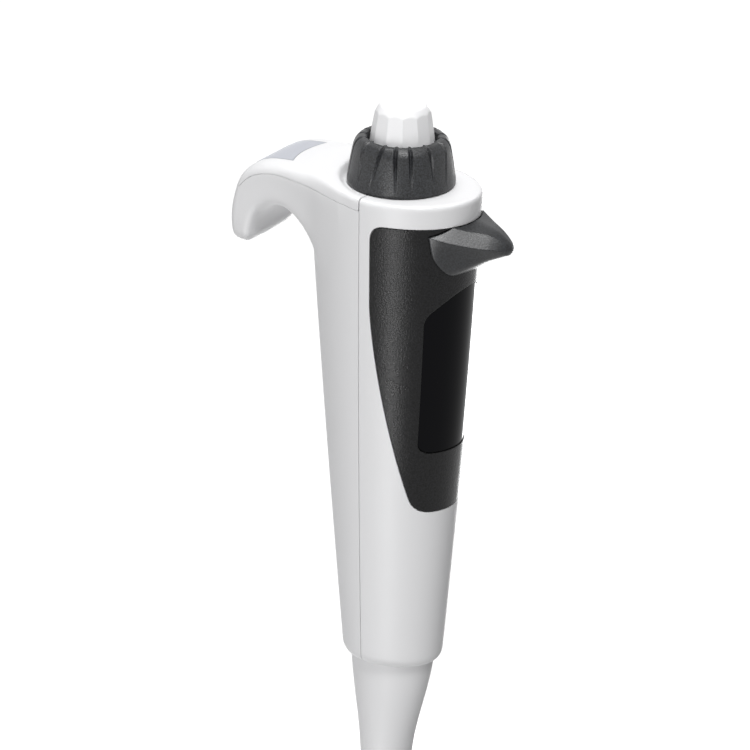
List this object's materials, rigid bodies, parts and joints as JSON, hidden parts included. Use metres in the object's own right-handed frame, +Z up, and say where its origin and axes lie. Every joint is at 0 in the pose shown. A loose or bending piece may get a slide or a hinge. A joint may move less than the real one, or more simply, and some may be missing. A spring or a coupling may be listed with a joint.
{
  "type": "electronic pipette",
  "caption": "Hand-held electronic pipette: tapered oval handle with finger hook, display window, setting knob round a thumb button, tip ejector and slim nozzle.",
  "frame": {"origin": "centre of the thumb button's flat top face, on the main axis", "axes": "+Z up along the main axis from the nozzle to the button, -Y towards the display, +Y towards the finger hook, +X to the right seen from the display side"},
  "size_m": [0.038, 0.0828, 0.2645],
  "materials": {
    "white": "satin gloss",
    "button_white": "satin gloss",
    "inlay_grey": "satin",
    "panel_black": "fine texture",
    "window_black": "high gloss",
    "knob_grey": "fine texture",
    "steel": "turned",
    "board_green": "solder mask",
    "inner_grey": "moulded",
    "battery_blue": "shrink sleeve",
    "seal_black": "moulded",
    "nozzle_white": "moulded"
  },
  "bodies": {
    "handle": {"front_shell": "white", "rear_shell": "white", "top_cover": "white", "hook_inlay": "inlay_grey", "front_panel": "panel_black", "display_window": "window_black", "knob_encoder": "inner_grey", "button_guide": "inner_grey", "button_switch": "seal_black", "chassis": "inner_grey", "battery": "battery_blue", "drive_motor": "steel", "piston_barrel": "steel", "barrel_nut": "inner_grey", "tip_cone": "nozzle_white", "spring_post": "steel", "circuit_board": "board_green", "board_screw_1": "steel", "board_screw_2": "steel", "board_screw_3": "steel", "board_screw_4": "steel", "lcd_module": "window_black", "processor_chip": "seal_black", "motor_driver_chip": "seal_black", "board_connector": "seal_black", "buzzer": "inner_grey"},
    "button": {"thumb_button": "button_white", "button_shaft": "steel", "button_spring": "steel"},
    "knob": {"setting_knob": "knob_grey", "knob_clip": "steel"},
    "ejector": {"ejector_key": "knob_grey", "ejector_yoke": "inner_grey", "ejector_bar": "steel", "ejector_sleeve": "white", "ejector_spring": "steel"},
    "carriage": {"nut_carriage": "nozzle_white", "rod_coupling": "inner_grey", "piston_rod": "steel", "piston_seal": "seal_black"},
    "screw": {"lead_screw": "steel"}
  },
  "joints": [
    {"name": "button_press", "type": "slide", "parent": "handle", "child": "button", "axis": [0, 0, -1], "range_m": [0, 0.0025], "stiffness_N_per_m": 300, "springref_m": -0.002, "deforming": ["button_spring"]},
    {"name": "knob_turn", "type": "hinge", "parent": "handle", "child": "knob", "pos_m": [0, 0, -0.0225], "axis": [0, 0, 1], "continuous": true},
    {"name": "ejector_slide", "type": "slide", "parent": "handle", "child": "ejector", "axis": [0, 0, -1], "range_m": [0, 0.008], "stiffness_N_per_m": 250, "springref_m": -0.006, "deforming": ["ejector_spring"]},
    {"name": "piston_slide", "type": "slide", "parent": "handle", "child": "carriage", "axis": [0, 0, -1], "range_m": [0, 0.013]},
    {"name": "screw_spin", "type": "hinge", "parent": "handle", "child": "screw", "pos_m": [0, 0, -0.1125], "axis": [0, 0, 1], "range_deg": [0, 1170]}
  ],
  "couplings": [
    {"joint": "screw_spin", "follows": "piston_slide", "rad_per_m": 1570.8}
  ]
}
